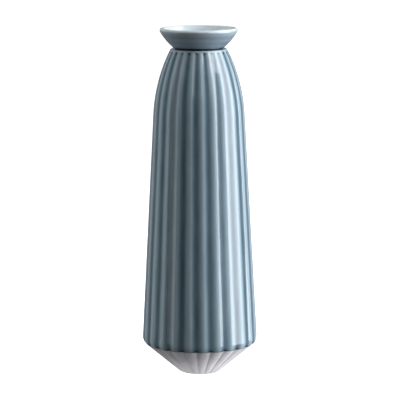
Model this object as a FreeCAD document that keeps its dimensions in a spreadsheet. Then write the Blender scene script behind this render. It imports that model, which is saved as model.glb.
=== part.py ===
"""A tall ribbed porcelain bud vase with a flared collar.

The vase is six pieces: the ribbed body casting, the collar casting that stands in its neck, the thin ring
of slip that joins them, and three coats of glaze: on the body, on the collar and on the whole inside.
Lengths are millimetres. Z is the axis of the vase and points up, and the foot stands on z = 0.
Outlines are drawn in the XZ plane, where x is the distance from the axis.
"""

import FreeCAD, Part
import math
import os

import Sketcher

VECTOR = FreeCAD.Vector
UP = VECTOR(0, 0, 1)
ORIGIN = VECTOR(0, 0, 0)
ROOT_POINT = (-1, 1)
GROUND_LINE = -1
AXIS_LINE = -2
START, END, CENTRE = 1, 2, 3
CLOSE = 1e-6
FULL_TURN = 360
UPRIGHT = 90

# The driving dimensions: name, value, meaning. Radii and heights are those of the casting before it is
# glazed, except where the meaning says finished. Radii along the ribbed outside are those of the crests.
SIZES = [
    ("total_height", 240.0, "finished height, foot to lip"),
    ("foot_radius", 13.8, "where the bare cone would meet the ground"),
    ("foot_round", 4.5, "rounding between the foot and the cone"),
    ("belly_radius", 39.8, "where the cone and the tall wall would meet"),
    ("belly_height", 22.1, "height of that corner"),
    ("belly_round", 7.1, "rounding of that corner"),
    ("shoulder_radius", 31.25, "top of the straight tapered wall"),
    ("shoulder_height", 180.7, "height where the wall begins to curve in"),
    ("groove_end_radius", 21.8, "top of the full-depth grooves"),
    ("groove_end_height", 220.2, "height where the grooves begin to run out"),
    ("neck_radius", 19.15, "outer edge of the ledge that the collar stands on"),
    ("neck_height", 225.7, "finished height of that ledge"),
    ("band_height", 1.2, "plain band between the grooves and the ledge"),
    ("rib_count", 24, "ribs round the body"),
    ("rib_ratio", 0.965, "radius in the grooves over radius on the crests, casting"),
    ("glaze_ratio", 0.98, "the same over the glaze, which pools in the grooves"),
    ("wall", 3.0, "wall of the body behind its grooves"),
    ("floor_thickness", 4.5, "floor of the body"),
    ("floor_round", 6.0, "rounding inside between the floor and the cone"),
    ("cavity_round", 8.0, "rounding inside at the belly"),
    ("recess_radius", 8.5, "radius of the hollow under the foot"),
    ("recess_depth", 1.0, "depth of the hollow under the foot"),
    ("neck_bore", 15.0, "radius of the hole that takes the collar's spigot"),
    ("spigot_depth", 5.0, "how far the spigot reaches below the ledge"),
    ("spigot_clearance", 0.3, "slip-filled gap round the spigot"),
    ("throat_radius", 12.3, "inside radius of the spigot"),
    ("throat_round", 3.0, "rounding from the throat into the flare"),
    ("collar_foot_radius", 17.0, "outside of the collar where it stands over the ledge"),
    ("seam_height", 0.6, "open groove between the ledge and the collar"),
    ("seam_depth", 1.2, "depth of that groove, measured in from the collar's glaze"),
    ("rim_radius", 26.8, "finished outer radius of the lip"),
    ("lip_round", 1.67, "finished radius of the round lip, half the collar's wall"),
    ("flare_radius", 40.4, "finished radius of the collar's outer curve"),
    ("flare_centre_height", 257.5, "height of the centre of that curve"),
    ("lip_split_angle", 45.0, "degrees above level where the two glazes meet on the lip"),
    ("glaze_thickness", 0.3, "thickness of every coat of glaze"),
    ("glaze_line", 20.7, "height where the body's glaze stops above the bare cone"),
]


def make_sheet(doc):
    sheet = doc.addObject("Spreadsheet::Sheet", "sizes")
    for row, (name, value, meaning) in enumerate(SIZES, start=1):
        sheet.set(f"A{row}", name)
        sheet.set(f"B{row}", str(value))
        sheet.set(f"C{row}", meaning)
        sheet.setAlias(f"B{row}", name)
    doc.recompute()
    return sheet


def tangent_centre(start, end, direction):
    """Centre of the arc that leaves start along direction and passes through end."""
    across = VECTOR(-direction.y, direction.x, 0)
    chord = end - start
    return start + across * (chord.dot(chord) / (2 * across.dot(chord)))


def rounding(before, corner, after, radius):
    """Where an arc of this radius leaves and meets the two straight edges at a corner, and its centre."""
    back = (before - corner).normalize()
    onward = (after - corner).normalize()
    half_angle = back.getAngle(onward) / 2
    reach = radius / math.tan(half_angle)
    middle = (back + onward).normalize()
    return corner + back * reach, corner + onward * reach, corner + middle * (radius / math.sin(half_angle))


class Outline:
    """An outline drawn edge after edge in a sketch, with its places and radii bound to the sheet."""

    def __init__(self, sketch, sheet):
        self.sketch = sketch
        self.sheet = sheet
        self.edges = []
        self.place = None
        self.rounded = None

    def value(self, expression):
        return float(self.sheet.evalExpression(expression))

    def spot(self, radius, height):
        return VECTOR(self.value(radius), self.value(height), 0)

    def constrain(self, kind, *geometry):
        return self.sketch.addConstraint(Sketcher.Constraint(kind, *geometry))

    def bind(self, expression, kind, *geometry):
        index = self.constrain(kind, *geometry, self.value(expression))
        self.sketch.setExpression(f"Constraints[{index}]", expression)

    def pin_radius(self, edge, point, radius):
        if radius == "0":
            self.constrain("PointOnObject", edge, point, AXIS_LINE)
        else:
            self.bind(radius, "DistanceX", *ROOT_POINT, edge, point)

    def pin_height(self, edge, point, height):
        if height == "0":
            self.constrain("PointOnObject", edge, point, GROUND_LINE)
        else:
            self.bind(height, "DistanceY", *ROOT_POINT, edge, point)

    def pin(self, edge, point, radius, height):
        self.pin_radius(edge, point, radius)
        self.pin_height(edge, point, height)

    def begin(self, radius, height):
        """Start at a place that the first edge's end or the closing edge holds."""
        self.place = self.spot(radius, height)

    def add(self, geometry, begins, ends, tangent):
        edge = self.sketch.addGeometry(geometry)
        if self.edges:
            last, _, last_end = self.edges[-1]
            self.constrain("Tangent" if tangent else "Coincident", last, last_end, edge, begins)
        self.edges.append((edge, begins, ends))
        return edge

    def line(self, end):
        """A straight edge. After a rounded corner it leaves the arc smoothly, in line with the corner."""
        edge = self.add(Part.LineSegment(self.place, end), START, END, tangent=self.rounded is not None)
        if self.rounded is not None:
            self.constrain("PointOnObject", self.rounded, START, edge)
            self.rounded = None
        self.place = end
        return edge

    def arc(self, centre, end, tangent=True, clockwise=False):
        first, last = (end, self.place) if clockwise else (self.place, end)
        circle = Part.Circle(centre, UP, (end - centre).Length)
        geometry = Part.ArcOfCircle(circle, circle.parameter(first), circle.parameter(last))
        begins, ends = (END, START) if clockwise else (START, END)
        edge = self.add(geometry, begins, ends, tangent and bool(self.edges))
        self.place = end
        return edge

    def line_to(self, radius, height):
        """A straight edge to a pinned point."""
        edge = self.line(self.spot(radius, height))
        self.pin(edge, END, radius, height)
        return edge

    def round_corner(self, corner, towards, radius):
        """A straight edge as far as a rounded corner, and the arc that turns towards the next point."""
        corner_place = self.spot(*corner)
        next_place = self.spot(*towards)
        turning = (corner_place - self.place).cross(next_place - corner_place).z
        leaves, meets, centre = rounding(self.place, corner_place, next_place, self.value(radius))
        mark = self.sketch.addGeometry(Part.Point(corner_place), True)
        self.pin(mark, START, *corner)
        edge = self.line(leaves)
        self.constrain("PointOnObject", mark, START, edge)
        bend = self.arc(centre, meets, clockwise=turning < 0)
        self.bind(radius, "Radius", bend)
        self.rounded = mark
        return edge

    def bow_to(self, radius, height):
        """An arc that goes on from the last straight edge without a corner, to a pinned point."""
        straight = self.sketch.Geometry[self.edges[-1][0]]
        direction = (straight.EndPoint - straight.StartPoint).normalize()
        end = self.spot(radius, height)
        centre = tangent_centre(self.place, end, direction)
        edge = self.arc(centre, end, clockwise=direction.cross(end - self.place).z < 0)
        self.pin(edge, self.edges[-1][2], radius, height)

    def close(self):
        """Join the last edge to the first."""
        first, begins, _ = self.edges[0]
        last, _, ends = self.edges[-1]
        self.constrain("Coincident", last, ends, first, begins)


# Heights and radii that several pieces share, as formulas over the sheet.
BARE = "0"
GLAZED = "sizes.glaze_thickness"
LEDGE = "sizes.neck_height - sizes.glaze_thickness"
COLLAR_BASE = "sizes.neck_height + sizes.seam_height"
SPIGOT_END = "sizes.neck_height - sizes.spigot_depth"
SPIGOT_RADIUS = "sizes.neck_bore - sizes.spigot_clearance"
JOINT_RADIUS = "sizes.collar_foot_radius + sizes.glaze_thickness - sizes.seam_depth"
CONE_SLOPE = "atan(sizes.belly_height / (sizes.belly_radius - sizes.foot_radius))"
BAND_START = "sizes.neck_height - sizes.glaze_thickness - sizes.band_height"
ABOVE_LIP = "sizes.total_height + 1"
LIP_CENTRE = ("sizes.rim_radius - sizes.lip_round", "sizes.total_height - sizes.lip_round")


def free_sketch(doc, name):
    sketch = doc.addObject("Sketcher::SketchObject", name)
    sketch.Placement = FreeCAD.Placement(ORIGIN, FreeCAD.Rotation(VECTOR(1, 0, 0), UPRIGHT))
    return sketch


def body_sketch(body, name):
    plane = next(feature for feature in body.Origin.OriginFeatures if feature.Role == "XZ_Plane")
    sketch = body.newObject("Sketcher::SketchObject", name)
    sketch.AttachmentSupport = (plane, [""])
    sketch.MapMode = "FlatFace"
    return sketch


def turn_round(body, sketch, kind, name):
    """A full turn of the sketch round the vase's axis, added or cut away."""
    feature = body.newObject(f"PartDesign::{kind}", name)
    feature.Profile = sketch
    feature.ReferenceAxis = (sketch, ["V_Axis"])
    feature.Angle = FULL_TURN
    return feature


def draw_crests(outline, coat, top):
    """The outside from the middle of the foot to the edge of the ledge, along a crest."""
    belly = (f"sizes.belly_radius + {coat}", "sizes.belly_height")
    shoulder = (f"sizes.shoulder_radius + {coat}", "sizes.shoulder_height")
    groove_end = (f"sizes.groove_end_radius + {coat}", "sizes.groove_end_height")
    run_out = f"({top} - ({BAND_START})) / ({top} - sizes.groove_end_height)"
    band_radius = f"{coat} + sizes.neck_radius + (sizes.groove_end_radius - sizes.neck_radius) * {run_out}"
    outline.begin("0", "0")
    ground = outline.round_corner((f"sizes.foot_radius + {coat}", "0"), belly, "sizes.foot_round")
    outline.pin(ground, START, "0", "0")
    outline.round_corner(belly, shoulder, "sizes.belly_round")
    outline.line_to(*shoulder)
    outline.bow_to(*groove_end)
    outline.line_to(band_radius, BAND_START)
    outline.line_to(f"sizes.neck_radius + {coat}", top)


def rib_arc(half_pitch, ratio):
    """Pole places and middle weight of a rib's arc between two grooves, on a crest circle of radius 1."""
    chord_distance = ratio * math.cos(half_pitch)
    half_chord = ratio * math.sin(half_pitch)
    half_swing = 2 * math.atan2(1 - chord_distance, half_chord)
    peak = chord_distance + half_chord * math.tan(half_swing)
    return ((chord_distance, -half_chord), (peak, 0), (chord_distance, half_chord)), math.cos(half_swing)


def rib_strip(edge, half_pitch, ratio_at):
    """The face that an edge of the crest outline gives one rib, whose section scales with its radius."""
    spline = edge.Curve.toBSpline(edge.FirstParameter, edge.LastParameter)
    poles = []
    weights = []
    for pole, weight in zip(spline.getPoles(), spline.getWeights()):
        places, middle_weight = rib_arc(half_pitch, ratio_at(pole.z))
        poles.append([VECTOR(pole.x * x, pole.x * y, pole.z) for x, y in places])
        weights.append([weight, weight * middle_weight, weight])
    surface = Part.BSplineSurface()
    surface.buildFromPolesMultsKnots(poles, spline.getMultiplicities(), [3, 3], spline.getKnots(), [0, 1],
                                     False, False, spline.Degree, 2, weights)
    return surface.toShape()


def rib_cap(radius, height, half_pitch, ratio, turns):
    """The flat face that closes the ribbed form at one end."""
    places, middle_weight = rib_arc(half_pitch, ratio)
    curve = Part.BSplineCurve()
    curve.buildFromPolesMultsKnots([VECTOR(radius * x, radius * y, height) for x, y in places],
                                   [3, 3], [0, 1], False, 2, [1, middle_weight, 1])
    edges = [curve.toShape().rotated(ORIGIN, UP, turn) for turn in turns]
    return Part.Face(Part.Wire(edges))


def ribbed_form(doc, name, sheet, crests, ratio):
    """A solid block with convex ribs. Every level is the same ribbed section, scaled to the crest outline.

    No sketch feature scales a section along an outline, so the strips are set as exact surfaces.
    """
    half_pitch = math.pi / sheet.rib_count
    turns = [FULL_TURN / sheet.rib_count * rib for rib in range(int(sheet.rib_count))]
    band_start = sheet.evalExpression(BAND_START)

    def ratio_at(height):
        return 1 if height > band_start - CLOSE else ratio

    outside = [edge for edge in crests.Shape.Edges if min(v.Point.x for v in edge.Vertexes) > CLOSE]
    strips = [rib_strip(edge, half_pitch, ratio_at) for edge in outside]
    faces = [strip.rotated(ORIGIN, UP, turn) for strip in strips for turn in turns]
    ends = sorted((vertex.Point for edge in outside for vertex in edge.Vertexes), key=lambda point: point.z)
    for end in (ends[0], ends[-1]):
        faces.append(rib_cap(end.x, end.z, half_pitch, ratio_at(end.z), turns))
    shell = Part.makeShell(faces)
    shell.sewShape()
    form = doc.addObject("Part::Feature", name)
    form.Shape = Part.makeSolid(shell)
    return form


def draw_cavity(outline, coat):
    """The inside of the body from the middle of its floor up to the spigot, over bare or glazed walls."""
    inset = f"(sizes.wall + {coat})"
    floor = f"sizes.floor_thickness + {coat}"
    floor_corner = (f"sizes.foot_radius - {coat} * tan({CONE_SLOPE} / 2)", floor)
    belly = (f"sizes.belly_radius * sizes.rib_ratio - {inset}",
             f"sizes.belly_height + {inset} * tan((90 deg - {CONE_SLOPE}) / 2)")
    shoulder = (f"sizes.shoulder_radius * sizes.rib_ratio - {inset}", "sizes.shoulder_height")
    outline.begin("0", floor)
    first = outline.round_corner(floor_corner, belly, "sizes.floor_round")
    outline.pin(first, START, "0", floor)
    outline.round_corner(belly, shoulder, "sizes.cavity_round")
    outline.line_to(*shoulder)
    outline.bow_to(f"sizes.neck_bore - {coat}", f"{SPIGOT_END} - {coat}")


class Flare:
    """The collar's curves: two arcs about one centre, joined by a round lip, over bare or glazed clay."""

    def __init__(self, outline, coat):
        self.outline = outline
        self.lip_radius = f"sizes.lip_round - sizes.glaze_thickness + {coat}"
        self.inner_radius = f"sizes.flare_radius - 2 * sizes.lip_round + sizes.glaze_thickness - {coat}"
        self.outer_radius = f"sizes.flare_radius - sizes.glaze_thickness + {coat}"
        self.foot_radius = f"sizes.collar_foot_radius + {coat}"
        self.throat_radius = f"sizes.throat_radius - {coat}"
        self.lip = outline.spot(*LIP_CENTRE)
        height = outline.value("sizes.flare_centre_height")
        reach = outline.value("sizes.flare_radius - sizes.lip_round")
        across = math.sqrt(reach ** 2 - (height - self.lip.y) ** 2)
        self.centre = VECTOR(self.lip.x - across, height, 0)
        self.outward = (self.lip - self.centre).normalize()

    def lip_spot(self, direction):
        return self.lip + direction * self.outline.value(self.lip_radius)

    def split(self):
        """Where the two glazes meet on the lip."""
        angle = math.radians(self.outline.value("sizes.lip_split_angle"))
        return self.lip_spot(VECTOR(math.cos(angle), math.sin(angle), 0))

    def foot_spot(self):
        """Where the outer curve comes down to the collar's upright foot."""
        radius = self.outline.value(self.foot_radius)
        curve = self.outline.value(self.outer_radius)
        drop = math.sqrt(curve ** 2 - (radius - self.centre.x) ** 2)
        return VECTOR(radius, self.centre.y - drop, 0)

    def hold_curve(self, edge, radius):
        self.outline.bind(radius, "Radius", edge)
        self.outline.bind("sizes.flare_centre_height", "DistanceY", *ROOT_POINT, edge, CENTRE)

    def draw_inside(self):
        """From the upright throat through its rounding and up the inner curve to the lip."""
        outline = self.outline
        bend = outline.value("sizes.throat_round")
        curve = outline.value(self.inner_radius)
        bend_x = outline.place.x + bend
        drop = math.sqrt((curve + bend) ** 2 - (bend_x - self.centre.x) ** 2)
        bend_centre = VECTOR(bend_x, self.centre.y - drop, 0)
        throat = outline.line(VECTOR(outline.place.x, bend_centre.y, 0))
        outline.constrain("Vertical", throat)
        towards = (bend_centre - self.centre).normalize()
        rounding_edge = outline.arc(bend_centre, self.centre + towards * curve, clockwise=True)
        outline.bind("sizes.throat_round", "Radius", rounding_edge)
        edge = outline.arc(self.centre, self.lip_spot(self.outward * -1))
        self.hold_curve(edge, self.inner_radius)

    def draw_lip(self, end, clockwise=True):
        """The round lip from the last edge's end to another point of the lip."""
        edge = self.outline.arc(self.lip, end, clockwise=clockwise)
        self.outline.bind(self.lip_radius, "Radius", edge)
        self.outline.pin(edge, CENTRE, *LIP_CENTRE)
        return edge

    def draw_outside(self):
        """From the lip down the outer curve to the top of the collar's foot."""
        edge = self.outline.arc(self.centre, self.foot_spot(), clockwise=True)
        self.hold_curve(edge, self.outer_radius)
        self.outline.pin_radius(edge, START, self.foot_radius)

    def draw_split(self, lip_edge, end):
        """A straight edge across the glaze, square to the lip, at the angle where the glazes meet."""
        edge = self.outline.line(end)
        self.outline.constrain("PointOnObject", lip_edge, CENTRE, edge)
        self.outline.bind("sizes.lip_split_angle * 1 deg", "Angle", edge)
        return edge


def draw_hollow(outline, coat):
    """Everything inside the vase, from the floor to the line on the lip, closed along the axis."""
    draw_cavity(outline, coat)
    outline.line_to(f"sizes.throat_radius - {coat}", f"{SPIGOT_END} - {coat}")
    flare = Flare(outline, coat)
    flare.draw_inside()
    split = flare.split()
    lip = flare.draw_lip(split)
    above = outline.value(ABOVE_LIP)
    outward = (split - flare.lip).normalize()
    edge = flare.draw_split(lip, split + outward * ((above - split.y) / outward.y))
    outline.pin_height(edge, END, ABOVE_LIP)
    outline.line_to("0", ABOVE_LIP)
    outline.line(outline.spot("0", f"sizes.floor_thickness + {coat}"))
    outline.close()


def make_body_shell(doc, sheet, casting_form):
    """The ribbed casting: hollow, open at the neck, with a shallow recess under its foot."""
    body = doc.addObject("PartDesign::Body", "body_shell")
    body.BaseFeature = casting_form
    doc.recompute()
    cavity = Outline(body_sketch(body, "cavity"), sheet)
    draw_cavity(cavity, BARE)
    cavity.line_to("sizes.neck_bore", ABOVE_LIP)
    cavity.line_to("0", ABOVE_LIP)
    cavity.line(cavity.spot("0", "sizes.floor_thickness"))
    cavity.close()
    turn_round(body, cavity.sketch, "Groove", "hollow_inside")
    doc.recompute()
    recess = Outline(body_sketch(body, "recess"), sheet)
    recess.begin("0", "0")
    recess.pin(recess.line_to("sizes.recess_radius", "0"), START, "0", "0")
    recess.line_to("sizes.recess_radius - sizes.recess_depth", "sizes.recess_depth")
    recess.line_to("0", "sizes.recess_depth")
    recess.line(recess.spot("0", "0"))
    recess.close()
    turn_round(body, recess.sketch, "Groove", "hollow_foot")
    return body


def make_body_glaze(doc, sheet, casting_form):
    """The coat on the body's ribs, shoulder and ledge, down to the bare cone."""
    crests = Outline(free_sketch(doc, "glaze_crests"), sheet)
    draw_crests(crests, GLAZED, "sizes.neck_height")
    doc.recompute()
    glaze_form = ribbed_form(doc, "glaze_form", sheet, crests.sketch, sheet.glaze_ratio)
    bare_zone = doc.addObject("Part::Cylinder", "bare_zone")
    bare_zone.setExpression("Radius", "2 * sizes.belly_radius")
    bare_zone.setExpression("Height", "sizes.glaze_line")
    joint_zone = doc.addObject("Part::Cylinder", "joint_zone")
    joint_zone.setExpression("Radius", JOINT_RADIUS)
    joint_zone.setExpression("Height", "sizes.total_height")
    coat = glaze_form
    for name, tool in (("coat", casting_form), ("coat_above_line", bare_zone), ("body_glaze", joint_zone)):
        cut = doc.addObject("Part::Cut", name)
        cut.Base = coat
        cut.Tool = tool
        coat = cut
    return coat


def make_collar_shell(doc, sheet):
    """The collar casting: spigot, throat, flared bowl and round lip."""
    body = doc.addObject("PartDesign::Body", "collar_shell")
    outline = Outline(body_sketch(body, "collar_section"), sheet)
    outline.begin(SPIGOT_RADIUS, SPIGOT_END)
    outline.line_to("sizes.throat_radius", SPIGOT_END)
    flare = Flare(outline, BARE)
    flare.draw_inside()
    flare.draw_lip(flare.lip_spot(flare.outward))
    flare.draw_outside()
    outline.line_to(flare.foot_radius, COLLAR_BASE)
    outline.line_to(SPIGOT_RADIUS, COLLAR_BASE)
    outline.line_to(SPIGOT_RADIUS, SPIGOT_END)
    outline.close()
    turn_round(body, outline.sketch, "Revolution", "collar_turning")
    return body


def make_collar_glaze(doc, sheet):
    """The coat on the outside of the collar, from its foot to the line on the lip."""
    body = doc.addObject("PartDesign::Body", "collar_glaze")
    outline = Outline(body_sketch(body, "coat_section"), sheet)
    outer = Flare(outline, GLAZED)
    inner = Flare(outline, BARE)
    outline.place = outer.split()
    outer.draw_lip(outer.lip_spot(outer.outward))
    outer.draw_outside()
    outline.line_to(outer.foot_radius, COLLAR_BASE)
    outline.line_to(inner.foot_radius, COLLAR_BASE)
    upright = outline.line(inner.foot_spot())
    outline.pin_radius(upright, END, inner.foot_radius)
    curve = outline.arc(inner.centre, inner.lip_spot(inner.outward), tangent=False)
    inner.hold_curve(curve, inner.outer_radius)
    lip = inner.draw_lip(inner.split(), clockwise=False)
    inner.draw_split(lip, outer.split())
    outline.close()
    turn_round(body, outline.sketch, "Revolution", "coat_turning")
    return body


def make_lining_glaze(doc, sheet):
    """The coat on the whole inside: floor, walls, end of the spigot, throat, flare and lip."""
    turnings = []
    for name, coat in (("hollow_bare", BARE), ("hollow_glazed", GLAZED)):
        outline = Outline(free_sketch(doc, f"{name}_section"), sheet)
        draw_hollow(outline, coat)
        turning = doc.addObject("Part::Revolution", name)
        turning.Source = outline.sketch
        turning.Axis = UP
        turning.Angle = FULL_TURN
        turning.Solid = True
        turnings.append(turning)
    lining = doc.addObject("Part::Cut", "lining_glaze")
    lining.Base, lining.Tool = turnings
    return lining


def make_luting_ring(doc, sheet):
    """The fired slip between the spigot and the neck's bore, and between the ledge and the collar."""
    body = doc.addObject("PartDesign::Body", "luting_ring")
    outline = Outline(body_sketch(body, "ring_section"), sheet)
    outline.begin(SPIGOT_RADIUS, SPIGOT_END)
    corners = [("sizes.neck_bore", SPIGOT_END), ("sizes.neck_bore", LEDGE), (JOINT_RADIUS, LEDGE),
               (JOINT_RADIUS, COLLAR_BASE), (SPIGOT_RADIUS, COLLAR_BASE), (SPIGOT_RADIUS, SPIGOT_END)]
    for corner in corners:
        outline.line_to(*corner)
    outline.close()
    turn_round(body, outline.sketch, "Revolution", "ring_turning")
    return body


def check_document(doc, pieces):
    """Stop if any object failed, or a piece isn't one sound solid."""
    for item in doc.Objects:
        if {"Invalid", "Error"} & set(item.State):
            raise RuntimeError(f"{item.Name} failed: {item.State}")
    for piece in pieces:
        shape = piece.Shape
        if shape.isNull() or not shape.isValid() or len(shape.Solids) != 1:
            raise RuntimeError(f"{piece.Label} isn't one sound solid")


def build():
    doc = FreeCAD.newDocument("bud_vase")
    sheet = make_sheet(doc)
    crests = Outline(free_sketch(doc, "casting_crests"), sheet)
    draw_crests(crests, BARE, LEDGE)
    doc.recompute()
    casting_form = ribbed_form(doc, "casting_form", sheet, crests.sketch, sheet.rib_ratio)
    pieces = [
        make_body_shell(doc, sheet, casting_form),
        make_body_glaze(doc, sheet, casting_form),
        make_collar_shell(doc, sheet),
        make_collar_glaze(doc, sheet),
        make_lining_glaze(doc, sheet),
        make_luting_ring(doc, sheet),
    ]
    doc.recompute()
    check_document(doc, pieces)
    os.makedirs("parts", exist_ok=True)
    for piece in pieces:
        piece.Shape.exportStep(f"parts/{piece.Label}.step")
        print(f"{piece.Label}: {piece.Shape.Volume / 1000:.2f} cm3, {len(piece.Shape.Faces)} faces")


build()
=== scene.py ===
"""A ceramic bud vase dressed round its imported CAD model: casting, glazes, floor, light and camera."""
import math

import bpy
import numpy as np
from mathutils import Matrix, Vector


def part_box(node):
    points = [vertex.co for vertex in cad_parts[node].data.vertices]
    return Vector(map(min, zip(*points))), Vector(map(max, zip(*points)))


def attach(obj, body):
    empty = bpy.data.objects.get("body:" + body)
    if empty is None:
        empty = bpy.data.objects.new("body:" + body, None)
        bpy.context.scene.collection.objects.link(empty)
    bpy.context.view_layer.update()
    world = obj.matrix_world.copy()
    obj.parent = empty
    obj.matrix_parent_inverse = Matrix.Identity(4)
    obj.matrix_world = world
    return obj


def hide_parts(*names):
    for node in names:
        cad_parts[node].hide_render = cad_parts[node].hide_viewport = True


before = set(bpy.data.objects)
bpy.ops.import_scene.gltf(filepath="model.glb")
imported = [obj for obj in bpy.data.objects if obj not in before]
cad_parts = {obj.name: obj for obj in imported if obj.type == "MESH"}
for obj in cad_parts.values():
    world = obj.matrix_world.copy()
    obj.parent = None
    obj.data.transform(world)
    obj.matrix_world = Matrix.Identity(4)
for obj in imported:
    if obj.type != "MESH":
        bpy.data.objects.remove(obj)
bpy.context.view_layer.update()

# Millimetres, as in the CAD model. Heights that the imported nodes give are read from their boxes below.
# Corners of the outline are (radius, height, rounding), and the recess is (radius, depth).
MM = 0.001
FOOT = (13.8, 0.0, 4.5)
BELLY = (39.8, 22.1, 7.1)
SHOULDER = (31.25, 180.7)
GROOVE_END = (21.8, 220.2)
NECK_RADIUS = 19.15
BAND_HEIGHT = 1.2
GLAZE = 0.3
WALL = 3.0
FLOOR_THICKNESS = 4.5
FLOOR_ROUND = 6.0
CAVITY_ROUND = 8.0
RECESS = (8.5, 1.0)
NECK_BORE = 15.0
THROAT_RADIUS = 12.3
THROAT_ROUND = 3.0
FLARE_RADIUS = 40.4
FLARE_HEIGHT = 257.5
LIP_ROUND = 1.67
LIP_SPLIT = math.radians(45)
COLLAR_FOOT = 17.3
EDGE_ROUND = 0.45
LEDGE_ROUND = 1.1
SHARP_ANGLE = math.radians(35)

RIBS = 24
HALF_PITCH = math.pi / RIBS
CAST_RATIO = 0.965
COLUMNS_PER_RIB = 16
FIRST_CREST = -math.pi / 2

# The glaze over the ribs. Depths are shares of the crest radius, and the ribs are deeper low down.
RIB_DEPTH = 0.0135
EXTRA_LOW_DEPTH = 0.0035
CREST_SHARE = 0.28
EXTRA_LOW_CREST_SHARE = 0.08
LOW_PART = (22, 110)
GROOVE_TOP_RISE = 0.7
GROOVE_TOP_BOW = 0.5
GROOVE_RUN_OUT = 1.1

# The lower edge of the glaze: higher in the grooves, slightly wavy, rolled under and beaded. The bead is
# (size, place above the edge, spread).
NEAR_VALLEY = (0.45, 1)
EDGE_NOTCH = 0.25
EDGE_WAVE = 0.12
EDGE_SEED = 3
EDGE_ROLL = 0.7
BEAD = (0.13, 0.9, 0.6)

# How dark the glaze is, from 0 to 2: deeper in the grooves, at their tops and along its edge, and painted
# shade on the ledge by the joint.
GROOVE_POOL = 1.3
GROOVE_POOL_POWER = 1.7
TOP_POOL_DROP = 0.9
TOP_POOL_SPREAD = 0.8
TOP_POOL_ACROSS = (0.5, 1)
TOP_POOL_UNEVENNESS = 0.7
TOP_POOL_SEED = 5
TOP_POOL_WAVES = (5, 7, 11)
EDGE_POOL_SPREAD = 1.6
EDGE_POOL = 0.35
EDGE_POOL_IN_VALLEYS = 0.9
# Painted shade on the ledge, darkest under the collar's foot and fading out along it.
LEDGE_SHADE = 1.8
LEDGE_SHADE_FADE = (-0.2, 1.1)
DEEPEST_POOL = 2

# Rows of points on the glaze coat, as (start, end, step) along the outline from its lower edge.
COAT_ROWS = ((0, 2.4, 0.12), (2.4, 9, 0.45), (9, 160, 3.2), (160, 196, 1.3))
TOP_ROW_STEP = 0.22
BACK_ROWS = 30
BACK_START = 2
BACK_OVERLAP = 0.001

# Rows of points on the casting: close together on the bare cone, wide apart where glaze hides it.
CONE_ROW_STEP = 0.45
HIDDEN_ROW_STEP = 4
CAVITY_ROW_STEP = 3
UNDER_GLAZE = 3
FOOT_MARGIN = 0.4
RIB_START = (-0.5, 0.1)

# Throwing rings on the collar: (size, radians per millimetre of height, phase).
THROWING_RINGS = ((0.035, 2.1, 0.6), (0.02, 4.7, 0.0))
RING_FOOT_FADE = 2
RING_LIP_FADE = (5, 3)
COLLAR_FOOT_TUCK = 0.1
COLLAR_ROWS = 70
COLLAR_BACK_ROWS = 12
LINING_ROWS = 40
LINING_BACK_ROWS = 14


def node_heights(node):
    low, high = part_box(node)
    return low.z / MM, high.z / MM


def node_radius(node):
    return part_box(node)[1].x / MM


GLAZE_LINE, LEDGE_HEIGHT = node_heights("body_glaze")
SPIGOT_END, SEAM_TOP = node_heights("luting_ring")
JOINT_RADIUS = node_radius("luting_ring")
LIP_TOP = node_heights("lining_glaze")[1]
RIM_RADIUS = node_radius("collar_glaze")
BAND_START = LEDGE_HEIGHT - BAND_HEIGHT


# Outlines: lists of (radius, height) points in millimetres.

def unit(vector):
    return vector / np.linalg.norm(vector)


def arc(centre, start, end, count):
    """Points on the shorter arc about a centre."""
    centre, start, end = (np.array(point, float) for point in (centre, start, end))
    first = math.atan2(*(start - centre)[::-1])
    swing = math.atan2(*(end - centre)[::-1]) - first
    swing = (swing + math.pi) % (2 * math.pi) - math.pi
    angles = first + swing * np.linspace(0, 1, count)
    radius = np.linalg.norm(start - centre)
    return centre + radius * np.stack([np.cos(angles), np.sin(angles)], axis=1)


def rounded_path(corners, arc_points=12):
    """Points along the straight lines between (radius, height, rounding) corners, which are rounded."""
    path = [np.array(corners[0][:2], float)]
    for before, corner, after in zip(corners, corners[1:], corners[2:]):
        here = np.array(corner[:2], float)
        back = unit(np.array(before[:2]) - here)
        ahead = unit(np.array(after[:2]) - here)
        if corner[2] == 0:
            path.append(here)
            continue
        half_angle = math.acos(np.clip(back @ ahead, -1, 1)) / 2
        centre = here + unit(back + ahead) * corner[2] / math.sin(half_angle)
        reach = corner[2] / math.tan(half_angle)
        path.extend(arc(centre, here + back * reach, here + ahead * reach, arc_points))
    path.append(np.array(corners[-1][:2], float))
    return np.array(path)


def bow(path, end, count=40):
    """The path carried on by an arc that leaves it smoothly and reaches the end point."""
    start = path[-1]
    ahead = unit(start - path[-2])
    across = np.array([-ahead[1], ahead[0]])
    chord = np.array(end) - start
    radius = (chord @ chord) / (2 * (chord @ across))
    return np.concatenate([path, arc(start + across * radius, start, end, count)[1:]])


def lengths(path):
    steps = np.linalg.norm(np.diff(path, axis=0), axis=1)
    return np.concatenate([[0], np.cumsum(steps)])


def along(path, distances):
    """Points of the path at distances from its start."""
    total = lengths(path)
    return np.stack([np.interp(distances, total, path[:, axis]) for axis in (0, 1)], axis=-1)


def crest_path(coat):
    """The outside of the body along the crest of a rib, from the foot to the edge of the ledge."""
    foot = (FOOT[0] + coat, FOOT[1], FOOT[2])
    belly = (BELLY[0] + coat, BELLY[1], BELLY[2])
    path = rounded_path([(0, 0, 0), foot, belly, (SHOULDER[0] + coat, SHOULDER[1], 0)])
    path = bow(path, (GROOVE_END[0] + coat, GROOVE_END[1]))
    return np.concatenate([path, [(NECK_RADIUS + coat, LEDGE_HEIGHT)]])


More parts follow.
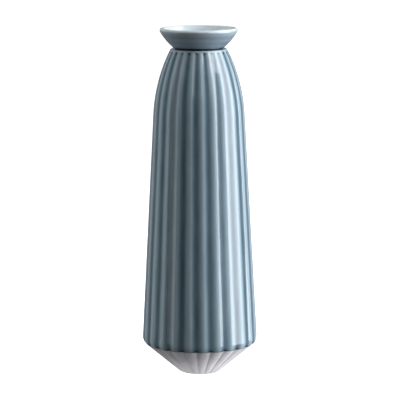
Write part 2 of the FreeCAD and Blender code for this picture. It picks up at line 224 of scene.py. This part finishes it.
class BodyOutline:
    """The outside of the body along the crest of a rib, read by length along it or by height.

    Heights are looked up above the rounded edge of the foot, because its flat has one height all over.
    """

    foot_edge_top = 1

    def __init__(self, coat):
        self.path = crest_path(coat)
        self.lengths = lengths(self.path)
        self.end = self.lengths[-1]
        self.rising = self.path[:, 1] > self.foot_edge_top

    def at(self, distances):
        return along(self.path, distances)

    def length_at(self, heights):
        return np.interp(heights, self.path[self.rising][:, 1], self.lengths[self.rising])


def cavity_path(coat):
    """The inside of the body from the middle of its floor up to the end of the spigot."""
    inset = WALL + coat
    slope = math.atan2(BELLY[1], BELLY[0] - FOOT[0])
    floor = FLOOR_THICKNESS + coat
    belly_height = BELLY[1] + inset * math.tan((math.pi / 2 - slope) / 2)
    corners = [(0, floor, 0),
               (FOOT[0] - coat * math.tan(slope / 2), floor, FLOOR_ROUND),
               (BELLY[0] * CAST_RATIO - inset, belly_height, CAVITY_ROUND),
               (SHOULDER[0] * CAST_RATIO - inset, SHOULDER[1], 0)]
    return bow(rounded_path(corners), (NECK_BORE - coat, SPIGOT_END - coat))


class Flare:
    """The collar's curved parts, over bare clay (coat 0) or over its glaze."""

    lip = np.array([RIM_RADIUS - LIP_ROUND, LIP_TOP - LIP_ROUND])
    across = math.sqrt((FLARE_RADIUS - LIP_ROUND) ** 2 - (FLARE_HEIGHT - lip[1]) ** 2)
    centre = np.array([lip[0] - across, FLARE_HEIGHT])
    outward = unit(lip - centre)
    split_direction = np.array([math.cos(LIP_SPLIT), math.sin(LIP_SPLIT)])
    under_lip_points = 8
    over_lip_points = 6
    lip_top_points = 12
    bend_points = 10

    def __init__(self, coat):
        self.lip_round = LIP_ROUND - GLAZE + coat
        self.outer = FLARE_RADIUS - GLAZE + coat
        self.inner = FLARE_RADIUS - 2 * LIP_ROUND + GLAZE - coat
        self.throat = THROAT_RADIUS - coat
        self.foot = COLLAR_FOOT - GLAZE + coat
        self.end = SPIGOT_END - coat

    def outside(self, count):
        """From the foot up the outer curve and round the lip to the line where the glazes meet."""
        foot_drop = math.sqrt(self.outer ** 2 - (self.foot - self.centre[0]) ** 2)
        foot = (self.foot, self.centre[1] - foot_drop)
        crown = self.lip + self.outward * self.lip_round
        split = self.lip + self.split_direction * self.lip_round
        curve = arc(self.centre, foot, crown, count)
        return np.concatenate([curve, arc(self.lip, crown, split, self.under_lip_points)[1:]])

    def inside(self, count):
        """From the line on the lip over its top and down the inner curve to the throat."""
        split = self.lip + self.split_direction * self.lip_round
        top = self.lip + np.array([0, self.lip_round])
        brow = self.lip - self.outward * self.lip_round
        bend_x = self.throat + THROAT_ROUND
        bend_drop = math.sqrt((self.inner + THROAT_ROUND) ** 2 - (bend_x - self.centre[0]) ** 2)
        bend_centre = np.array([bend_x, self.centre[1] - bend_drop])
        meeting = self.centre + unit(bend_centre - self.centre) * self.inner
        throat_top = (self.throat, bend_centre[1])
        parts = [arc(self.lip, split, top, self.over_lip_points),
                 arc(self.lip, top, brow, self.lip_top_points)[1:],
                 arc(self.centre, brow, meeting, count)[1:],
                 arc(bend_centre, meeting, throat_top, self.bend_points)[1:],
                 [(self.throat, self.end)]]
        return np.concatenate(parts)


# The ribs. Each column of points round the vase lies across a rib, from -1 to 1 between two valleys.

COLUMNS = np.arange(RIBS * COLUMNS_PER_RIB)
ANGLES = FIRST_CREST + 2 * math.pi * COLUMNS / (RIBS * COLUMNS_PER_RIB)
ACROSS = ((COLUMNS / COLUMNS_PER_RIB + 0.5) % 1 - 0.5) * 2
FROM_CREST = np.abs(ACROSS)


def cast_rib():
    """Radius of the sharp cast rib, as a share of its crest: an arc from valley to valley."""
    chord_distance = CAST_RATIO * math.cos(HALF_PITCH)
    half_chord = CAST_RATIO * math.sin(HALF_PITCH)
    half_swing = 2 * math.atan2(1 - chord_distance, half_chord)
    round_radius = half_chord / math.sin(half_swing)
    centre = 1 - round_radius
    angle = ACROSS * HALF_PITCH
    return centre * np.cos(angle) + np.sqrt(round_radius ** 2 - (centre * np.sin(angle)) ** 2)


def pooled_drop(crest_share):
    """How far glaze drops from crest (0) to valley (1): a tight round crest and a wide pooled valley."""
    crest = FROM_CREST ** 2 / crest_share
    valley = 1 - (1 - FROM_CREST) ** 2 / (1 - crest_share)
    return np.where(FROM_CREST < crest_share, crest, valley)


def smooth(low, high, value):
    """0 up to low, 1 from high, and an even S between them."""
    share = np.clip((value - low) / (high - low), 0, 1)
    return share * share * (3 - 2 * share)


def hump(value, middle, spread):
    """A smooth hump of height 1."""
    return np.exp(-((value - middle) / spread) ** 2)


def ripple(seed, waves=(3, 5, 8, 13, 21)):
    """A smooth uneven wave right round the vase, about -1 to 1. Each of its waves fits a whole turn.

    The waves seldom peak together, so their average is stretched.
    """
    stretch = 1.5
    phases = np.random.default_rng(seed).uniform(0, 2 * math.pi, len(waves))
    total = sum(np.sin(wave * ANGLES + phase) / math.sqrt(wave) for wave, phase in zip(waves, phases))
    return total / sum(1 / math.sqrt(wave) for wave in waves) * stretch


# Meshes

def turned_rows(path, around=ANGLES, radius_share=1.0):
    """Points right round the axis for each point of an outline."""
    radii = path[:, 0][:, None] * radius_share
    heights = np.broadcast_to(path[:, 1][:, None], np.broadcast(radii, around[None]).shape)
    return points_round(radii, heights, around)


def points_round(radii, heights, around=ANGLES):
    return np.stack([radii * np.cos(around), radii * np.sin(around), heights], axis=-1)


def closed_skin(name, rows, on_axis, pools=None):
    """A closed mesh over rows of points. The rows close on the axis at both ends, or join end to end.

    The pools, one for each point of the rows, are stored on the mesh. The points on the axis have none.
    By the seam, on the collar's lower flare and in the porcelain's grooves these values are painted shade.
    """
    count, around = rows.shape[:2]
    index = np.arange(count * around).reshape(count, around)
    points = rows.reshape(-1, 3)
    if not on_axis:
        index = np.concatenate([index, index[:1]])
    ahead = np.roll(index, -1, axis=1)
    faces = np.stack([index[:-1], ahead[:-1], ahead[1:], index[1:]], axis=-1).reshape(-1, 4).tolist()
    if on_axis:
        first_pole, last_pole = len(points), len(points) + 1
        poles = [(0, 0, rows[0, 0, 2]), (0, 0, rows[-1, 0, 2])]
        points = np.concatenate([points, poles])
        faces += [(first_pole, ahead[0, column], index[0, column]) for column in range(around)]
        faces += [(last_pole, index[-1, column], ahead[-1, column]) for column in range(around)]
    mesh = bpy.data.meshes.new(name)
    mesh.from_pydata((points * MM).tolist(), [], faces)
    mesh.validate()
    mesh.shade_smooth()
    mesh.set_sharp_from_angle(angle=SHARP_ANGLE)
    if pools is not None:
        values = np.zeros(len(points), np.float32)
        values[:pools.size] = pools.reshape(-1)
        # The stored 'pool' holds painted shade as well as pooled glaze.
        mesh.attributes.new("pool", "FLOAT", "POINT").data.foreach_set("value", values)
    piece = bpy.data.objects.new(name, mesh)
    bpy.context.scene.collection.objects.link(piece)
    return piece


def steps(*spans):
    """Places from one span to the next, where each span is (start, end, step)."""
    places = [np.arange(start, end - step / 2, step) for start, end, step in spans]
    return np.concatenate(places + [[spans[-1][1]]])


def body_glaze_rows():
    """Points of the coat on the ribs, and how deep the glaze pools at each of them.

    The coat is rolled at the line above the cone, pooled in the grooves, and plain under the ledge.
    """
    glazed = BodyOutline(GLAZE)
    bare = BodyOutline(0)
    line = glazed.length_at(GLAZE_LINE)
    valley_nearness = smooth(*NEAR_VALLEY, FROM_CREST)
    edge = line + EDGE_NOTCH * valley_nearness + EDGE_WAVE * ripple(EDGE_SEED)
    places = steps(*COAT_ROWS, (COAT_ROWS[-1][1], glazed.end - line, TOP_ROW_STEP))
    shares = places / places[-1]
    distance = edge + (glazed.end - edge) * shares[:, None]
    above_edge = distance - edge
    crest = glazed.at(distance)
    height = crest[..., 1]

    low_share = 1 - smooth(*LOW_PART, height)
    depth = RIB_DEPTH + EXTRA_LOW_DEPTH * low_share
    groove_top = BAND_START + GROOVE_TOP_RISE - GROOVE_TOP_BOW * FROM_CREST ** 3
    run_out = 1 - smooth(-GROOVE_RUN_OUT, 0, height - groove_top)
    drop = pooled_drop(CREST_SHARE + EXTRA_LOW_CREST_SHARE * low_share) * run_out
    radius = crest[..., 0] * (1 - depth * drop)

    cast_radius = bare.at(bare.length_at(height))[..., 0] * cast_rib()
    roll = np.sqrt(1 - (1 - np.clip(above_edge / EDGE_ROLL, 0, 1)) ** 2)
    bead_height, bead_middle, bead_spread = BEAD
    bead = bead_height * hump(above_edge, bead_middle, bead_spread)
    radius = cast_radius + (radius - cast_radius) * roll + bead

    groove_pool = GROOVE_POOL * drop ** GROOVE_POOL_POWER
    top_pool = hump(height - groove_top, -TOP_POOL_DROP, TOP_POOL_SPREAD)
    top_pool = top_pool * smooth(*TOP_POOL_ACROSS, FROM_CREST)
    top_pool = top_pool * (1 + TOP_POOL_UNEVENNESS * ripple(TOP_POOL_SEED, TOP_POOL_WAVES))
    edge_pool = hump(above_edge, 0, EDGE_POOL_SPREAD)
    edge_pool = edge_pool * (EDGE_POOL + EDGE_POOL_IN_VALLEYS * valley_nearness)
    pool = np.clip(groove_pool + top_pool + edge_pool, 0, DEEPEST_POOL)
    return points_round(radius, height), pool


def ledge_rows():
    """The plain ledge that runs in to the joint under the collar, painted dark towards the joint as shade.
    """
    band = tuple(crest_path(GLAZE)[-2]) + (0,)
    edge = (NECK_RADIUS + GLAZE, LEDGE_HEIGHT, LEDGE_ROUND)
    inner = (JOINT_RADIUS + EDGE_ROUND, LEDGE_HEIGHT, 0)
    joint = (JOINT_RADIUS, LEDGE_HEIGHT - GLAZE)
    path = np.concatenate([rounded_path([band, edge, inner])[1:], [joint]])
    rows = turned_rows(path)
    dark, clear = (COLLAR_FOOT + distance for distance in LEDGE_SHADE_FADE)
    # Painted shade under the collar's foot, clearing out along the ledge.
    pool = LEDGE_SHADE * (1 - smooth(dark, clear, np.linalg.norm(rows[..., :2], axis=-1)))
    return rows, pool


def coat_back_rows():
    """The hidden side of the coat, against the cast ribs."""
    bare = BodyOutline(0)
    back = bare.at(np.linspace(bare.end, bare.length_at(GLAZE_LINE + BACK_START), BACK_ROWS))
    round_share = np.where(back[:, 1] > BAND_START, 1, 0)[:, None]
    rib_share = round_share + (1 - round_share) * cast_rib()[None]
    return turned_rows(back, radius_share=rib_share - BACK_OVERLAP)


def make_body_glaze():
    outside, outside_pool = body_glaze_rows()
    ledge, ledge_shade = ledge_rows()
    under_ledge = outside[:, 0, 2] < ledge[0, 0, 2]
    back = coat_back_rows()
    rows = np.concatenate([outside[under_ledge], ledge, back])
    # The ledge rows carry painted shade, and the other rows carry pooled glaze.
    pools = np.concatenate([outside_pool[under_ledge], ledge_shade, np.ones(back.shape[:2])])
    piece = closed_skin("body_glaze_coat", rows, on_axis=False, pools=pools)
    return finish_piece(piece, "body_glaze", blue_grey_glaze())


def casting_outside():
    """Points of the ribbed outside from the foot to the neck, and how deep in a groove each one is."""
    bare = BodyOutline(0)
    foot_flat = bare.path[1, 0] - FOOT_MARGIN
    plain, full = (foot_flat + distance for distance in RIB_START)
    over_line = bare.length_at(GLAZE_LINE + UNDER_GLAZE)
    cone_rows = (foot_flat, over_line, CONE_ROW_STEP)
    hidden_rows = (over_line, bare.end, HIDDEN_ROW_STEP)
    outside = bare.at(steps(cone_rows, hidden_rows))
    ribbed = smooth(plain, full, outside[:, 0]) * (outside[:, 1] < BAND_START)
    ribbed = ribbed[:, None]
    outside[:, 1] = np.minimum(outside[:, 1], LEDGE_HEIGHT - GLAZE)
    rows = turned_rows(outside, radius_share=ribbed * cast_rib() + (1 - ribbed))
    groove = np.clip(ribbed * (1 - cast_rib()) / (1 - CAST_RATIO), 0, 1)
    return rows, groove


def make_body_casting():
    """The ribbed porcelain: recess, bare cone, the hidden wall under the glaze, and the cavity."""
    recess = turned_rows(np.array([(RECESS[0] - RECESS[1], RECESS[1]), (RECESS[0], 0)]))
    outside, groove = casting_outside()
    inside = cavity_path(0)[::-1][:-1]
    inside = along(inside, steps((0, lengths(inside)[-1], CAVITY_ROW_STEP)))
    neck = (NECK_BORE, LEDGE_HEIGHT - GLAZE)
    cavity = turned_rows(np.concatenate([[neck], inside]))
    pools = np.concatenate([np.zeros(recess.shape[:2]), groove, np.zeros(cavity.shape[:2])])
    rows = np.concatenate([recess, outside, cavity])
    piece = closed_skin("body_porcelain", rows, on_axis=True, pools=pools)
    return finish_piece(piece, "body_shell", porcelain())


def ringed(curve):
    """The collar's outer curve with faint throwing rings that fade out at both ends."""
    heights = curve[:, 1]
    rings = sum(rise * np.sin(heights * rate + phase) for rise, rate, phase in THROWING_RINGS)
    foot_fade = smooth(SEAM_TOP, SEAM_TOP + RING_FOOT_FADE, heights)
    lip_fade = 1 - smooth(LIP_TOP - RING_LIP_FADE[0], LIP_TOP - RING_LIP_FADE[1], heights)
    away = curve - Flare.centre
    away = away / np.linalg.norm(away, axis=1)[:, None]
    return curve + away * (rings * foot_fade * lip_fade)[:, None]


def collar_pool_and_shade(heights):
    """How dark the collar's glaze is: thin and pale on the lip, with painted shade making it darker
    towards the foot and dark in the seam.
    """
    below_lip = LIP_TOP - heights
    above_seam = heights - SEAM_TOP
    lip = 0.6 * (1 - smooth(0.7, 1.8, below_lip))
    under_lip = 0.4 * (1 - smooth(1.2, 6.5, below_lip))
    # Painted shade: the lower flare darker towards the foot.
    foot = 0.2 * smooth(6, 13, below_lip)
    # Painted shade in the seam above the joint.
    seam = 1 - smooth(0.15, 1.0, above_seam)
    return 1 - lip - under_lip + foot + seam


def make_collar_glaze():
    glazed = Flare(GLAZE).outside(COLLAR_ROWS)
    glazed = ringed(glazed[glazed[:, 1] > SEAM_TOP + EDGE_ROUND])
    foot = rounded_path([(JOINT_RADIUS, SEAM_TOP + GLAZE, 0), (JOINT_RADIUS, SEAM_TOP, 0),
                         (glazed[0, 0] - COLLAR_FOOT_TUCK, SEAM_TOP, EDGE_ROUND), tuple(glazed[0]) + (0,)])
    back = Flare(0).outside(COLLAR_BACK_ROWS)[::-1]
    back = back[back[:, 1] > SEAM_TOP + GLAZE]
    path = np.concatenate([foot, glazed[1:], back])
    rows = turned_rows(path)
    pools = np.repeat(collar_pool_and_shade(path[:, 1]), rows.shape[1])
    piece = closed_skin("collar_glaze_coat", rows, on_axis=False, pools=pools)
    return finish_piece(piece, "collar_glaze", collar_glaze())


def make_lining():
    """The pale glaze: on the lip, down the throat and over the whole inside."""
    visible = np.concatenate([Flare(GLAZE).inside(LINING_ROWS), cavity_path(GLAZE)[::-1][:-1]])
    hidden = np.concatenate([Flare(0).inside(LINING_BACK_ROWS), cavity_path(0)[::-1][:-1]])[::-1]
    path = np.concatenate([hidden, visible])
    piece = closed_skin("lining_glaze_coat", turned_rows(path, ANGLES[::2]), on_axis=True)
    return finish_piece(piece, "lining_glaze", pale_glaze())


def finish_piece(piece, node, material):
    piece.data.materials.append(material)
    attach(piece, "root")
    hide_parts(node)
    return piece


# Materials

def fill_ramp(ramp, stops):
    """Set a colour ramp to (position, colour) stops."""
    while len(ramp.elements) < len(stops):
        ramp.elements.new(1.0)
    for element, (position, colour) in zip(ramp.elements, stops):
        element.position = position
        element.color = (*colour, 1.0)


class Nodes:
    """The node tree of a new material, with short calls for the nodes that these materials share."""

    def __init__(self, name):
        self.material = bpy.data.materials.new(name)
        self.material.use_nodes = True
        self.tree = self.material.node_tree
        self.shader = self.tree.nodes["Principled BSDF"]
        self.place = self.tree.nodes.new("ShaderNodeTexCoord").outputs["Object"]

    def link(self, source, target):
        self.tree.links.new(source, target)

    def set(self, **values):
        for name, value in values.items():
            self.shader.inputs[name.replace("_", " ")].default_value = value

    def stretched(self, scale):
        node = self.tree.nodes.new("ShaderNodeMapping")
        node.inputs["Scale"].default_value = scale
        self.link(self.place, node.inputs["Vector"])
        return node.outputs["Vector"]

    def noise(self, scale, detail=2.0, place=None):
        node = self.tree.nodes.new("ShaderNodeTexNoise")
        node.inputs["Scale"].default_value = scale
        node.inputs["Detail"].default_value = detail
        self.link(place or self.place, node.inputs["Vector"])
        return node.outputs["Fac"]

    def attribute(self, name):
        node = self.tree.nodes.new("ShaderNodeAttribute")
        node.attribute_name = name
        return node.outputs["Fac"]

    def maths(self, operation, first, second):
        node = self.tree.nodes.new("ShaderNodeMath")
        node.operation = operation
        for value, socket in zip((first, second), node.inputs):
            if isinstance(value, (int, float)):
                socket.default_value = value
            else:
                self.link(value, socket)
        return node.outputs["Value"]

    def remap(self, value, low, high, from_low=0.0, from_high=1.0):
        node = self.tree.nodes.new("ShaderNodeMapRange")
        node.inputs["From Min"].default_value = from_low
        node.inputs["From Max"].default_value = from_high
        node.inputs["To Min"].default_value = low
        node.inputs["To Max"].default_value = high
        self.link(value, node.inputs["Value"])
        return node.outputs["Result"]

    def spread(self, noise, low, high):
        """Noise, which mostly lies between 0.3 and 0.7, spread out from low to high."""
        return self.remap(noise, low, high, from_low=0.3, from_high=0.7)

    def ramp(self, value, stops):
        node = self.tree.nodes.new("ShaderNodeValToRGB")
        fill_ramp(node.color_ramp, stops)
        self.link(value, node.inputs["Fac"])
        return node.outputs["Color"]

    def bump(self, height, distance, strength=1.0, over=None):
        node = self.tree.nodes.new("ShaderNodeBump")
        node.inputs["Distance"].default_value = distance
        node.inputs["Strength"].default_value = strength
        self.link(height, node.inputs["Height"])
        if over is not None:
            self.link(over, node.inputs["Normal"])
        return node.outputs["Normal"]


def glaze_surface(nodes, roughness):
    """The glass of a glaze: slow waves where it flowed, fine orange peel, a slightly uneven gloss."""
    waves = nodes.noise(scale=1.0, detail=1.0, place=nodes.stretched((90, 90, 22)))
    flow = nodes.bump(waves, distance=0.0002, strength=0.2)
    peel = nodes.bump(nodes.noise(scale=1500.0), distance=0.00002, strength=0.35, over=flow)
    nodes.link(peel, nodes.shader.inputs["Normal"])
    patches = nodes.noise(scale=60.0, detail=3.0)
    gloss = nodes.spread(patches, low=roughness * 0.7, high=roughness * 1.4)
    nodes.link(gloss, nodes.shader.inputs["Roughness"])
    nodes.set(IOR=1.5)


def glaze_depth_colour(nodes, drift, unevenness, stops):
    """The colour of a glaze by how deep it pools, from 0 to 2, with the stops over half of that.
    By the seam and on the collar's lower flare the same value is painted shade.
    """
    uneven = nodes.spread(drift, low=-unevenness, high=unevenness)
    depth = nodes.maths("ADD", nodes.attribute("pool"), uneven)
    colour = nodes.ramp(nodes.maths("MULTIPLY", depth, 0.5), stops)
    nodes.link(colour, nodes.shader.inputs["Base Color"])


def blue_grey_glaze():
    nodes = Nodes("blue_grey_glaze_ribbed")
    runs = nodes.noise(scale=1.0, detail=3.0, place=nodes.stretched((260, 260, 40)))
    glaze_depth_colour(nodes, runs, 0.12, [
        (0.0, (0.350, 0.460, 0.528)), (0.5, (0.132, 0.202, 0.250)), (1.0, (0.012, 0.022, 0.032))])
    glaze_surface(nodes, roughness=0.035)
    return nodes.material


def collar_glaze():
    nodes = Nodes("blue_grey_glaze_collar")
    rings = nodes.noise(scale=1.0, detail=3.0, place=nodes.stretched((20, 20, 620)))
    glaze_depth_colour(nodes, rings, 0.15, [
        (0.0, (0.660, 0.740, 0.740)), (0.3, (0.410, 0.495, 0.550)), (0.5, (0.270, 0.350, 0.418)),
        (1.0, (0.020, 0.030, 0.040))])
    glaze_surface(nodes, roughness=0.06)
    return nodes.material


def pale_glaze():
    nodes = Nodes("pale_glaze_lining")
    drift = nodes.noise(scale=70.0, detail=3.0)
    colour = nodes.ramp(drift, [(0.3, (0.71, 0.81, 0.84)), (0.7, (0.77, 0.86, 0.89))])
    nodes.link(colour, nodes.shader.inputs["Base Color"])
    glaze_surface(nodes, roughness=0.10)
    return nodes.material


def porcelain():
    """Unglazed biscuit: fine grain, soft clouds, and a little more shade in the grooves."""
    nodes = Nodes("bare_porcelain_biscuit")
    grain = nodes.noise(scale=2600.0, detail=4.0)
    clouds = nodes.noise(scale=120.0, detail=3.0)
    fine_tone = nodes.maths("MULTIPLY", grain, 0.35)
    tone = nodes.maths("ADD", fine_tone, nodes.maths("MULTIPLY", clouds, 0.65))
    groove_shade = nodes.maths("MULTIPLY", nodes.attribute("pool"), 0.22)
    tone = nodes.maths("SUBTRACT", tone, groove_shade)
    colour = nodes.ramp(tone, [(0.2, (0.66, 0.64, 0.675)), (0.7, (0.83, 0.815, 0.850))])
    nodes.link(colour, nodes.shader.inputs["Base Color"])
    nodes.link(nodes.remap(grain, low=0.62, high=0.85), nodes.shader.inputs["Roughness"])
    pores = nodes.bump(grain, distance=0.00006, strength=0.5)
    surface = nodes.bump(clouds, distance=0.0003, strength=0.3, over=pores)
    nodes.link(surface, nodes.shader.inputs["Normal"])
    nodes.set(IOR=1.45)
    return nodes.material


def seam_shade_slip():
    # Near-black: painted shade in the narrow gap of the seam between collar and body.
    nodes = Nodes("seam_slip_painted_shade")
    grain = nodes.noise(scale=1200.0, detail=4.0)
    colour = nodes.ramp(grain, [(0.3, (0.003, 0.004, 0.005)), (0.7, (0.012, 0.014, 0.016))])
    nodes.link(colour, nodes.shader.inputs["Base Color"])
    nodes.link(nodes.remap(grain, low=0.5, high=0.8), nodes.shader.inputs["Roughness"])
    nodes.link(nodes.bump(grain, distance=0.0001, strength=0.5), nodes.shader.inputs["Normal"])
    return nodes.material


def dress_node(node, material):
    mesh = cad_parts[node].data
    mesh.materials.clear()
    mesh.materials.append(material)


# Stage, light and camera

VIEW_TURN = math.radians(-3.9)
CAMERA_DISTANCE = 1.5017
CAMERA_HEIGHT = 0.356
CAMERA_LENS = 197.5
CAMERA_ROLL = math.radians(-0.234)
AIM = (0.0005, 0.12072)
LIGHT_AIM = Vector((0, 0, 0.12))
WHITE = (1.0, 1.0, 1.0)
DAYLIGHT = (0.95, 0.965, 1.0)


def from_camera(azimuth, elevation, distance):
    """A point seen from the middle of the vase at an azimuth in degrees to the right of the camera."""
    turn = VIEW_TURN + math.radians(azimuth)
    rise = math.radians(elevation)
    level = Vector((math.sin(turn), -math.cos(turn), 0)) * math.cos(rise)
    return LIGHT_AIM + (level + Vector((0, 0, math.sin(rise)))) * distance


def face(thing, target, roll=0.0):
    look = (target - thing.location).to_track_quat("-Z", "Y").to_matrix().to_4x4()
    thing.rotation_euler = (look @ Matrix.Rotation(roll, 4, "Z")).to_euler()


def make_camera():
    data = bpy.data.cameras.new("camera")
    data.lens = CAMERA_LENS
    data.clip_end = 100
    camera = bpy.data.objects.new("camera", data)
    bpy.context.scene.collection.objects.link(camera)
    right = Vector((math.cos(VIEW_TURN), math.sin(VIEW_TURN), 0))
    back = Vector((math.sin(VIEW_TURN), -math.cos(VIEW_TURN), 0))
    camera.location = back * CAMERA_DISTANCE + Vector((0, 0, CAMERA_HEIGHT))
    face(camera, right * AIM[0] + Vector((0, 0, AIM[1])), CAMERA_ROLL)
    bpy.context.scene.camera = camera


def make_floor():
    """A white table that is seen but lights nothing: the table_glow softbox stands for its light."""
    half = 12
    corners = [(-half, -half, 0), (half, -half, 0), (half, half, 0), (-half, half, 0)]
    mesh = bpy.data.meshes.new("floor")
    mesh.from_pydata(corners, [], [(0, 1, 2, 3)])
    floor = bpy.data.objects.new("floor", mesh)
    bpy.context.scene.collection.objects.link(floor)
    nodes = Nodes("studio_floor")
    nodes.set(Base_Color=(0.8, 0.8, 0.8, 1), Roughness=0.9)
    nodes.set(Emission_Color=(1, 1, 1, 1), Emission_Strength=1.0)
    mesh.materials.append(nodes.material)
    floor.visible_glossy = False
    floor.visible_diffuse = False
    floor.visible_shadow = False


def softbox(name, azimuth, elevation, distance, size, radiance, colour=WHITE,
            mirrored=True, lighting=True):
    """A rectangular light that faces the vase. Radiance is how bright its front looks, where 1 is white.

    One that isn't mirrored only lights the clay and the body of the glaze, and one that isn't lighting
    only shows as a highlight.
    """
    data = bpy.data.lights.new(name, "AREA")
    data.color = colour
    data.shape = "RECTANGLE"
    data.size, data.size_y = size
    data.energy = radiance * math.pi * size[0] * size[1]
    light = bpy.data.objects.new(name, data)
    bpy.context.scene.collection.objects.link(light)
    light.location = from_camera(azimuth, elevation, distance)
    light.visible_glossy = mirrored
    light.visible_diffuse = lighting
    light.visible_camera = False
    face(light, LIGHT_AIM)


def world_ramp(tree, value, stops):
    """Grey levels for a value that runs from -1 to 1."""
    share = tree.nodes.new("ShaderNodeMapRange")
    share.inputs["From Min"].default_value = -1
    tree.links.new(value, share.inputs["Value"])
    ramp = tree.nodes.new("ShaderNodeValToRGB")
    fill_ramp(ramp.color_ramp, [((place + 1) / 2, (level, level, level)) for place, level in stops])
    tree.links.new(share.outputs["Result"], ramp.inputs["Fac"])
    return ramp.outputs["Color"]


def add_and_scale(tree, first, scale, second):
    node = tree.nodes.new("ShaderNodeVectorMath")
    node.operation = "MULTIPLY_ADD"
    for source, socket in zip((first, scale, second), node.inputs):
        tree.links.new(source, socket)
    return node.outputs["Vector"]


def room_colour(tree):
    """Dark walls on the camera's side, paler ones behind the vase, a grey table and a grey ceiling."""
    direction = tree.nodes.new("ShaderNodeTexCoord").outputs["Generated"]
    parts = tree.nodes.new("ShaderNodeSeparateXYZ")
    tree.links.new(direction, parts.inputs["Vector"])
    upward = parts.outputs["Z"]
    toward = tree.nodes.new("ShaderNodeVectorMath")
    toward.operation = "DOT_PRODUCT"
    toward.inputs[1].default_value = (math.sin(VIEW_TURN), -math.cos(VIEW_TURN), 0)
    tree.links.new(direction, toward.inputs[0])
    walls = world_ramp(tree, toward.outputs["Value"], [(-0.9, 0.25), (-0.3, 0.12), (0.2, 0.03)])
    wall_share = world_ramp(tree, upward, [(-0.5, 0.0), (-0.15, 1.0), (0.6, 1.0), (1.0, 0.0)])
    table_and_ceiling = world_ramp(tree, upward, [(-0.45, 0.12), (-0.12, 0.0), (0.5, 0.0), (0.9, 0.25)])
    return add_and_scale(tree, walls, wall_share, table_and_ceiling)


def make_studio():
    """The grey room that the glaze mirrors, and the plain white backdrop that is seen past the vase."""
    world = bpy.data.worlds.new("studio")
    bpy.context.scene.world = world
    world.use_nodes = True
    tree = world.node_tree
    room = tree.nodes["Background"]
    tree.links.new(room_colour(tree), room.inputs["Color"])
    backdrop = tree.nodes.new("ShaderNodeBackground")
    backdrop.inputs["Color"].default_value = (*WHITE, 1)
    rays = tree.nodes.new("ShaderNodeLightPath")
    chosen = tree.nodes.new("ShaderNodeMixShader")
    tree.links.new(rays.outputs["Is Camera Ray"], chosen.inputs["Fac"])
    tree.links.new(room.outputs["Background"], chosen.inputs[1])
    tree.links.new(backdrop.outputs["Background"], chosen.inputs[2])
    tree.links.new(chosen.outputs["Shader"], tree.nodes["World Output"].inputs["Surface"])


def make_right_lights():
    """Daylight from the right: the main softbox, and two that only show in the glaze."""
    softbox("right_softbox", 82, 15, 1.3, (1.06, 1.9), 6.4, DAYLIGHT)
    softbox("high_right_softbox", 50, 42, 1.3, (0.5, 0.5), 4.8, DAYLIGHT, lighting=False)
    softbox("right_fill", 62, 20, 1.4, (1.4, 1.6), 1.15, DAYLIGHT, lighting=False)


def make_left_lights():
    softbox("left_softbox", -72, 15, 1.4, (0.6, 1.4), 0.8)
    softbox("left_rim_light", -104, 15, 1.4, (0.85, 1.6), 2.2, mirrored=False)
    softbox("left_rim_mirror", -104, 15, 1.4, (0.85, 1.6), 0.8, lighting=False)


def make_light():
    make_right_lights()
    softbox("front_softbox", 8, 36, 1.5, (0.5, 1.0), 1.4, lighting=False)
    make_left_lights()
    softbox("top_softbox", -40, 66, 1.3, (0.7, 0.7), 1.2, mirrored=False)
    softbox("table_glow", 70, -83, 0.12, (0.065, 0.065), 0.55, mirrored=False)
    make_studio()


def show_colours_plainly():
    bpy.context.scene.view_settings.view_transform = "Standard"


make_body_casting()
make_body_glaze()
make_collar_glaze()
make_lining()
dress_node("collar_shell", porcelain())
# The luting ring is painted near-black as shade in the seam gap.
dress_node("luting_ring", seam_shade_slip())
make_camera()
make_floor()
make_light()
show_colours_plainly()
